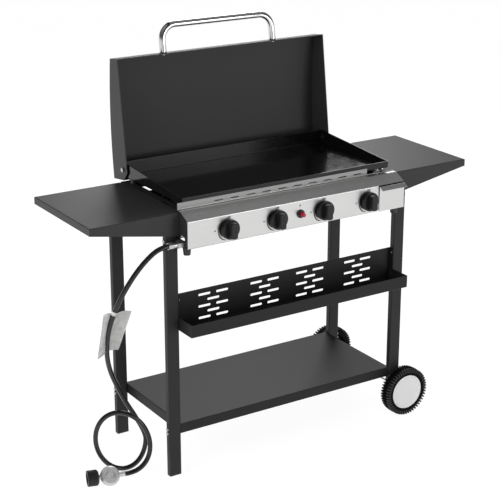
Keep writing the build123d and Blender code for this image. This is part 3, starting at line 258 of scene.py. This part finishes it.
# %% Surround by kind of ray
plain_light = 0.45
soft = tree.nodes.new("ShaderNodeBackground")
soft.inputs["Color"].default_value = (1, 1, 1, 1)
soft.inputs["Strength"].default_value = plain_light
white = tree.nodes.new("ShaderNodeBackground")
white.inputs["Color"].default_value = (1, 1, 1, 1)
ray = tree.nodes.new("ShaderNodeLightPath")
seen = math_node(tree, "MAXIMUM")
by_gloss = tree.nodes.new("ShaderNodeMixShader")
blend = tree.nodes.new("ShaderNodeMixShader")
output = tree.nodes.new("ShaderNodeOutputWorld")
tree.links.new(ray.outputs["Is Glossy Ray"], by_gloss.inputs["Fac"])
tree.links.new(soft.outputs[0], by_gloss.inputs[1])
tree.links.new(tent.outputs[0], by_gloss.inputs[2])
tree.links.new(ray.outputs["Is Camera Ray"], seen.inputs[0])
tree.links.new(ray.outputs["Is Transmission Ray"], seen.inputs[1])
tree.links.new(seen.outputs[0], blend.inputs["Fac"])
tree.links.new(by_gloss.outputs[0], blend.inputs[1])
tree.links.new(white.outputs[0], blend.inputs[2])
tree.links.new(blend.outputs[0], output.inputs["Surface"])
bpy.context.scene.view_settings.view_transform = "Standard"
print("surround strength for plain light:", plain_light)

# %% [markdown]
# Three wide lamps light the cart as softboxes do. The strongest stands at the left, so the left sides of
# the legs and of the lid come out lighter than their fronts. It isn't mirrored, because the glossy plate
# would show it as a white patch from the right. A weak one stands in front. The third stands behind and
# above, where the tables and the shelf catch it and the sloping ledge of the panel doesn't.

# %% Lamps
lamp_plan = {
    "left_softbox": ((-3.4, -0.5, 1.6), 2.4, 90.0, False),
    "front_softbox": ((1.5, -3.2, 1.3), 1.3, 27.0, True),
    "rear_softbox": ((1.7, 2.8, 2.95), 2.0, 64.0, True),
}
aim = Vector((0.0, 0.0, 0.75))
for name, (spot, size, power, mirrored) in lamp_plan.items():
    lamp = bpy.data.lights.new(name, "AREA")
    lamp.size = size
    lamp.energy = power
    holder = add(name, lamp)
    holder.location = spot
    holder.rotation_euler = (aim - Vector(spot)).to_track_quat("-Z", "Y").to_euler()
    holder.visible_glossy = mirrored
print("lamps:", len(lamp_plan))

# %% [markdown]
# Every finish starts from the same few nodes: the shader, a noise that reads Object coordinates, a colour
# that wavers a little with that noise, a roughness that does the same, and a bump for the grain. Only the
# numbers differ from powder coat to rubber, so one function makes them.

# %% A finish with grain
noise_span = (0.3, 0.7)


def grained_finish(name, colour, roughness, metallic=0.0, grain=600.0, stretch=(1, 1, 1), waver=0.08,
                   rough_waver=0.06, bump=0.05, bump_depth=0.0002, specular=0.5):
    """A material whose colour, roughness and surface follow one noise."""
    made = bpy.data.materials.new(name)
    made.use_nodes = True
    tree = made.node_tree
    shader = tree.nodes["Principled BSDF"]
    shader.inputs["Metallic"].default_value = metallic
    shader.inputs["Specular IOR Level"].default_value = specular
    where = tree.nodes.new("ShaderNodeTexCoord")
    fit = tree.nodes.new("ShaderNodeMapping")
    fit.inputs["Scale"].default_value = stretch
    noise = tree.nodes.new("ShaderNodeTexNoise")
    noise.inputs["Scale"].default_value = grain
    noise.inputs["Detail"].default_value = 4.0
    tint = tree.nodes.new("ShaderNodeValToRGB")
    for stop, position, change in zip(tint.color_ramp.elements, noise_span, (1 - waver, 1 + waver)):
        stop.position = position
        stop.color = (*[min(1.0, c * change) for c in colour], 1)
    gloss = map_range(tree, noise_span, (roughness - rough_waver, roughness + rough_waver))
    relief = tree.nodes.new("ShaderNodeBump")
    relief.inputs["Strength"].default_value = bump
    relief.inputs["Distance"].default_value = bump_depth
    tree.links.new(where.outputs["Object"], fit.inputs["Vector"])
    tree.links.new(fit.outputs["Vector"], noise.inputs["Vector"])
    tree.links.new(noise.outputs["Fac"], tint.inputs["Fac"])
    tree.links.new(noise.outputs["Fac"], gloss.inputs["Value"])
    tree.links.new(noise.outputs["Fac"], relief.inputs["Height"])
    tree.links.new(tint.outputs["Color"], shader.inputs["Base Color"])
    tree.links.new(gloss.outputs["Result"], shader.inputs["Roughness"])
    tree.links.new(relief.outputs["Normal"], shader.inputs["Normal"])
    return made


print("noise span that finishes read:", noise_span)

# %% [markdown]
# Powder coat is sprayed on dry and baked, which leaves a very fine orange peel. The cart, the lid and the
# tables have it, in shades that differ a little. The cooking plate is enamelled: the same black, but smooth
# and glossy, so it mirrors the lid.

# %% Coats and enamel
powder_coat = grained_finish("black_powder_coat", (0.018, 0.018, 0.019), 0.5, grain=900, waver=0.12, bump=0.12,
                             specular=0.28)
lid_coat = grained_finish("lid_coat", (0.026, 0.026, 0.027), 0.5, grain=900, waver=0.12, bump=0.1,
                          specular=0.35)
shelf_coat = grained_finish("shelf_coat", (0.012, 0.012, 0.013), 0.5, grain=900, waver=0.12, bump=0.12,
                            specular=0.25)
enamel = grained_finish("black_enamel", (0.004, 0.004, 0.0045), 0.12, grain=60, waver=0.2, rough_waver=0.03,
                        bump=0.02, specular=0.4)
print("coats:", powder_coat.name, lid_coat.name, shelf_coat.name, enamel.name)

# %% [markdown]
# Stainless sheet is brushed along its length. Noise stretched far along X gives the fine lines, and they
# change roughness more than colour. Tube for the handle is polished, hidden fixings are dull zinc, and the
# regulator's casting is half as metallic as the rest, because its sand-blasted skin scatters light.

# %% Metals
brushed_steel = grained_finish("brushed_steel", (0.61, 0.61, 0.605), 0.3, metallic=1.0, grain=1.0,
                               stretch=(6, 900, 900), waver=0.02, rough_waver=0.03, bump=0.03,
                               bump_depth=0.0001)
polished_steel = grained_finish("polished_steel", (0.66, 0.66, 0.66), 0.1, metallic=1.0, grain=300, waver=0.03,
                                rough_waver=0.03, bump=0.02)
zinc = grained_finish("zinc_steel", (0.5, 0.5, 0.5), 0.36, metallic=1.0, grain=240, waver=0.12, bump=0.05)
burner_steel = grained_finish("burner_steel", (0.42, 0.41, 0.39), 0.42, metallic=1.0, grain=180, waver=0.15)
brass = grained_finish("brass", (0.66, 0.52, 0.28), 0.3, metallic=1.0, grain=300, waver=0.1)
die_cast = grained_finish("die_cast_grey", (0.62, 0.62, 0.63), 0.4, metallic=0.5, grain=700, waver=0.08,
                          bump=0.12)
print("metals end with:", die_cast.name)

# %% [markdown]
# Moulded plastic has a fine sand-blasted texture from its tool. The knobs are satin, the wheel caps pale
# grey and the igniter button glossy red. The tyre and its lugs are one rubber in two copies: the tyre's
# colour is painted darker as shade between the lugs, and the lugs' colour is painted lighter as light on
# their tops. The tyre is also rougher than its lugs, because rubbing polishes only what stands proud.

# %% Plastics, rubber and ceramic
knob_plastic = grained_finish("knob_plastic", (0.007, 0.007, 0.0075), 0.36, grain=1200, waver=0.15, bump=0.08,
                              specular=0.35)
# The tyre's colour is painted darker, as shade between its lugs.
tyre_painted_shade = grained_finish("tyre_painted_shade", (0.004, 0.004, 0.0045), 0.7, grain=500, waver=0.2, bump=0.25,
                              specular=0.08)
# The lugs' colour is painted lighter, as light on their tops.
lug_painted_light = grained_finish("lug_painted_light", (0.026, 0.026, 0.027), 0.5, grain=500, waver=0.2, bump=0.1,
                             specular=0.3)
moulded_black = grained_finish("black_plastic", (0.013, 0.013, 0.014), 0.45, grain=900, waver=0.15, bump=0.1)
pale_cap = grained_finish("pale_grey_plastic", (0.84, 0.84, 0.84), 0.45, grain=500, waver=0.03, bump=0.06)
red_plastic = grained_finish("red_plastic", (0.42, 0.008, 0.03), 0.2, grain=400, waver=0.06, bump=0.03)
ceramic = grained_finish("white_ceramic", (0.8, 0.79, 0.75), 0.2, grain=300, waver=0.04)
rubber = grained_finish("black_rubber", (0.007, 0.007, 0.0075), 0.2, grain=700, waver=0.2, bump=0.06)
print("plastics, rubber and ceramic end with:", rubber.name)

# %% [markdown]
# The riser at the top of the panel stands right against the hot plate. Its colour carries painted shade: it is
# painted darker, in place of the darker light it mirrors. The panel is one sheet, so its finish asks how high
# a
# point is: above the ledge the colour is scaled down, and below it nothing changes.

# %% Painted shade on the riser
# The riser's colour is scaled down above the ledge as painted shade.
riser_height, riser_blur, riser_painted_shade = 0.0205, 0.001, 0.47
ledge_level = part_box("control_panel")[1].z - riser_height
steel_panel_painted_shade = brushed_steel.copy()
steel_panel_painted_shade.name = "steel_panel_painted_shade"
tree = steel_panel_painted_shade.node_tree
split = tree.nodes.new("ShaderNodeSeparateXYZ")
# This mask paints shade on the riser: full colour below the ledge, darker above it.
painted_shade_mask = map_range(tree, (ledge_level - riser_blur, ledge_level + riser_blur), (1.0, riser_painted_shade))
painted_shade_colour = tree.nodes.new("ShaderNodeVectorMath")
painted_shade_colour.operation = "SCALE"
tree.links.new(tree.nodes["Texture Coordinate"].outputs["Object"], split.inputs["Vector"])
tree.links.new(split.outputs["Z"], painted_shade_mask.inputs["Value"])
tree.links.new(tree.nodes["Color Ramp"].outputs["Color"], painted_shade_colour.inputs[0])
tree.links.new(painted_shade_mask.outputs["Result"], painted_shade_colour.inputs["Scale"])
tree.links.new(painted_shade_colour.outputs["Vector"], tree.nodes["Principled BSDF"].inputs["Base Color"])
print("ledge level in metres:", round(ledge_level, 4))

# %% [markdown]
# The record names a material slot for every node. Most nodes take the finish of their slot, and a few
# pieces that share a slot but look different, such as tyres and knobs, are named one by one.

# %% Dress the nodes
knob_numbers = range(1, 5)
slot_finish = {
    "black_powder_coat": powder_coat, "black_enamel": enamel, "brushed_steel": brushed_steel,
    "polished_steel": polished_steel, "zinc_steel": zinc, "burner_steel": burner_steel, "brass": brass,
    "die_cast_grey": die_cast, "black_plastic": moulded_black, "pale_grey_plastic": pale_cap,
    "red_plastic": red_plastic, "white_ceramic": ceramic, "black_rubber": rubber,
}
node_finish = {
    "lid_shell": lid_coat, "side_table_left": lid_coat, "side_table_right": lid_coat,
    "lower_shelf": shelf_coat, "condiment_tray": shelf_coat, "control_panel": steel_panel_painted_shade,
    "front_wheel": tyre_painted_shade, "rear_wheel": tyre_painted_shade,
}
node_finish.update({f"knob_{number}": knob_plastic for number in knob_numbers})


def dress(thing, finish):
    """Puts a finish on an object's own material slot, whatever its mesh holds."""
    if not thing.material_slots:
        thing.data.materials.append(finish)
    for holder in thing.material_slots:
        holder.link = "OBJECT"
        holder.material = finish


for entry in frame["record"]["subparts"]:
    node = entry["node"]
    dress(nodes[node], node_finish.get(node, slot_finish[entry["material_slot"]]))
dress(gas_hose, rubber)

# %% [markdown]
# The solid tyre has a crowned tread. The real mould also gives it blunt lugs on both shoulders. One lug is
# a cube that is scaled and turned into place, the loop repeats it round both sides of the tyre, and one
# bevel softens them all. They stay within the tyre's radius, and they ride on the wheel so that they roll
# with it.

# %% Tyre shoulder lugs
tyre_width = 0.038
lug_count, lug_proud, lug_inset, lug_bevel = 50, 0.0018, 0.001, 0.0007
lug_size = Vector((0.0050, 0.0105, 0.013))
for wheel, outward in (("front_wheel", -1), ("rear_wheel", 1)):
    low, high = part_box(wheel)
    centre, tyre_radius = (low + high) / 2, (high.z - low.z) / 2
    outer = low.y if outward < 0 else high.y
    outer_row = outer + outward * (lug_proud - lug_size.y / 2)
    inner_row = outer - outward * (tyre_width - lug_size.y / 2)
    lift = Matrix.Translation((0, 0, tyre_radius - lug_inset - lug_size.z / 2))
    stretch = Matrix.Diagonal((*lug_size, 1))
    shape = bmesh.new()
    for row, stagger in ((outer_row, 0.0), (inner_row, 0.5)):
        seat = Matrix.Translation((centre.x, row, centre.z))
        for index in range(lug_count):
            turn = Matrix.Rotation(2 * math.pi * (index + stagger) / lug_count, 4, "Y")
            bmesh.ops.create_cube(shape, size=1.0, matrix=seat @ turn @ lift @ stretch)
    bmesh.ops.bevel(shape, geom=list(shape.edges), offset=lug_bevel, segments=2, profile=0.5, affect="EDGES",
                    material=-1)
    bmesh.ops.recalc_face_normals(shape, faces=list(shape.faces))
    # The lugs take the lighter colour, painted light on their tops.
    lugs = object_from(f"{wheel}_lugs", shape, lug_painted_light)
    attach(lugs, wheel)
    print(wheel, "lugs:", 2 * lug_count, "tyre radius in millimetres:", round(tyre_radius * 1000, 1))

# %% [markdown]
# The panel carries plain printed marks. A print is thin ink, so each mark is a flat outline given a
# thickness of a tenth of a millimetre, and it lies on the panel's face.

# %% Printing
ink = grained_finish("printing_ink", (0.02, 0.02, 0.02), 0.5, grain=1500, waver=0.2, bump=0.05)
ink_depth = 0.0001
panel_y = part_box("control_panel")[0].y


def printed(name, outlines):
    """Flat outlines of (x, z) on the panel's face, as one piece of ink."""
    shape = bmesh.new()
    for outline in outlines:
        shape.faces.new([shape.verts.new((x, panel_y, z)) for x, z in outline])
    raised = bmesh.ops.extrude_face_region(shape, geom=list(shape.faces))
    lifted = [item for item in raised["geom"] if isinstance(item, bmesh.types.BMVert)]
    bmesh.ops.translate(shape, verts=lifted, vec=(0, -ink_depth, 0))
    bmesh.ops.recalc_face_normals(shape, faces=list(shape.faces))
    piece = object_from(name, shape, ink)
    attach(piece, "cart")


print("ink depth in millimetres:", ink_depth * 1000)

# %% [markdown]
# Beside each knob lies a crescent that swells towards the low setting, and a dot at the left. Both are
# outlines of points on circles: the crescent's inside is a plain arc, and its outside is an arc whose
# radius swells and shrinks.

# %% Dial marks
crescent_first, crescent_last, crescent_steps = 100.0, 258.0, 32
crescent_inner, crescent_line, crescent_swell, crescent_left = 0.0335, 0.0009, 0.0029, 0.0015
swell_turn, swell_reach = 222, 38
dot_left, dot_radius, dot_last, dot_steps = 0.0465, 0.0024, 337.5, 15


def arc(x, z, radius, first, last, steps):
    """Points of an arc, with angles in degrees from the right."""
    turns = [math.radians(first + (last - first) * step / steps) for step in range(steps + 1)]
    return [(x + radius * math.cos(turn), z + radius * math.sin(turn)) for turn in turns]


def crescent(x, z):
    """A band round a knob: a thin line over its left side that swells at the lower left and runs out."""
    outside = []
    for step in range(crescent_steps + 1):
        turn = crescent_first + (crescent_last - crescent_first) * step / crescent_steps
        swell = max(0.0, 1 - ((turn - swell_turn) / swell_reach) ** 2)
        angle = math.radians(turn)
        radius = crescent_inner + crescent_line + crescent_swell * swell
        outside.append((x + radius * math.cos(angle), z + radius * math.sin(angle)))
    return arc(x, z, crescent_inner, crescent_first, crescent_last, crescent_steps) + outside[::-1]


knob_boxes = [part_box(f"knob_{number}") for number in knob_numbers]
knob_middles = [((low.x + high.x) / 2, (low.z + high.z) / 2) for low, high in knob_boxes]
for number, (x, z) in zip(knob_numbers, knob_middles):
    dot = arc(x - dot_left, z, dot_radius, 0, dot_last, dot_steps)
    printed(f"dial_mark_{number}", [crescent(x - crescent_left, z), dot])
print("dial marks:", len(knob_middles))

# %% [markdown]
# Letters come from a font curve. It is turned into a mesh first, then its points are laid on the panel: a
# letter's width runs along X, and its height runs up Z. A small bolt over the igniter stands for its spark.

# %% Printed words and the spark mark
word_size, word_weight, word_rise = 0.0078, 0.0005, 0.0315
for number, (x, z) in zip(knob_numbers, knob_middles):
    letters = bpy.data.curves.new(f"off_word_{number}", "FONT")
    letters.body = "OFF"
    letters.size = word_size
    letters.offset = word_weight
    letters.align_x = "CENTER"
    letters.extrude = ink_depth / 2
    holder = bpy.data.objects.new(f"off_curve_{number}", letters)
    mesh = bpy.data.meshes.new_from_object(holder)
    bpy.data.objects.remove(holder)
    for vertex in mesh.vertices:
        across, tall, deep = vertex.co
        vertex.co = (x + across, panel_y - ink_depth / 2 - deep, z + word_rise + tall)
    mesh.materials.clear()
    mesh.materials.append(ink)
    word = add(f"off_word_{number}", mesh)
    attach(word, "cart")
spark_left, spark_rise = 0.002, 0.026
button_low, button_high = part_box("igniter_button")
spark_x = (button_low.x + button_high.x) / 2 - spark_left
spark_z = (button_low.z + button_high.z) / 2 + spark_rise
bolt = ((0.0022, 0.0060), (-0.0034, -0.0009), (-0.0006, -0.0009), (-0.0018, -0.0060), (0.0034, 0.0011),
        (0.0006, 0.0011))
printed("spark_mark", [[(spark_x + across, spark_z + tall) for across, tall in bolt]])
print("words and spark mark:", len(knob_middles) + 1)

# %% [markdown]
# A blank paper tag rides on the hose. Its narrow neck wraps the hose, and two wings hang beside it. Each
# wing is a grid whose corners are given and whose middle is pushed out, because paper keeps a curl.

# %% Hose tag
paper = grained_finish("tag_paper", (0.56, 0.56, 0.55), 0.6, grain=70, waver=0.16, bump=0.5, bump_depth=0.001)
tag_thickness = 0.0003
wing_corners = {
    "left": ((-599, -155, 561), (-634, -158, 566), (-605, -112, 434), (-647, -135, 423)),
    "right": ((-599, -155, 557), (-543, -158, 560), (-605, -112, 430), (-568, -115, 428)),
}
wing_curl, wing_bow, wing_arch = {"left": -7, "right": 5}, 8, 6
shape = bmesh.new()
for wing, corners in wing_corners.items():
    top_a, top_b, low_a, low_b = [Vector(corner) for corner in corners]
    made = bmesh.ops.create_grid(shape, x_segments=10, y_segments=14, size=0.5)
    for vertex in made["verts"]:
        across, down = vertex.co.x + 0.5, 0.5 - vertex.co.y
        spot = top_a.lerp(top_b, across).lerp(low_a.lerp(low_b, across), down)
        spot.x -= wing_bow * math.sin(math.pi * down) * (1 - across)
        spot.y += wing_curl[wing] * math.sin(math.pi * across) * (0.4 + 0.6 * down)
        spot.z += wing_arch * math.sin(math.pi * across) * (1 - down)
        vertex.co = place(*spot)
neck_radius, neck_length = 0.0083, 0.011
neck_turn = Vector((-0.27, 0.24, -0.93)).to_track_quat("Z", "Y").to_matrix().to_4x4()
neck_seat = Matrix.Translation(place(-600.9, -161.3, 566)) @ neck_turn
bmesh.ops.create_cone(shape, cap_ends=False, segments=24, radius1=neck_radius, radius2=neck_radius,
                      depth=neck_length, matrix=neck_seat)
bmesh.ops.recalc_face_normals(shape, faces=list(shape.faces))
bmesh.ops.solidify(shape, geom=list(shape.faces), thickness=tag_thickness)
hose_tag = object_from("hose_tag", shape, paper)
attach(hose_tag, "cart")
print("tag faces:", len(hose_tag.data.polygons))
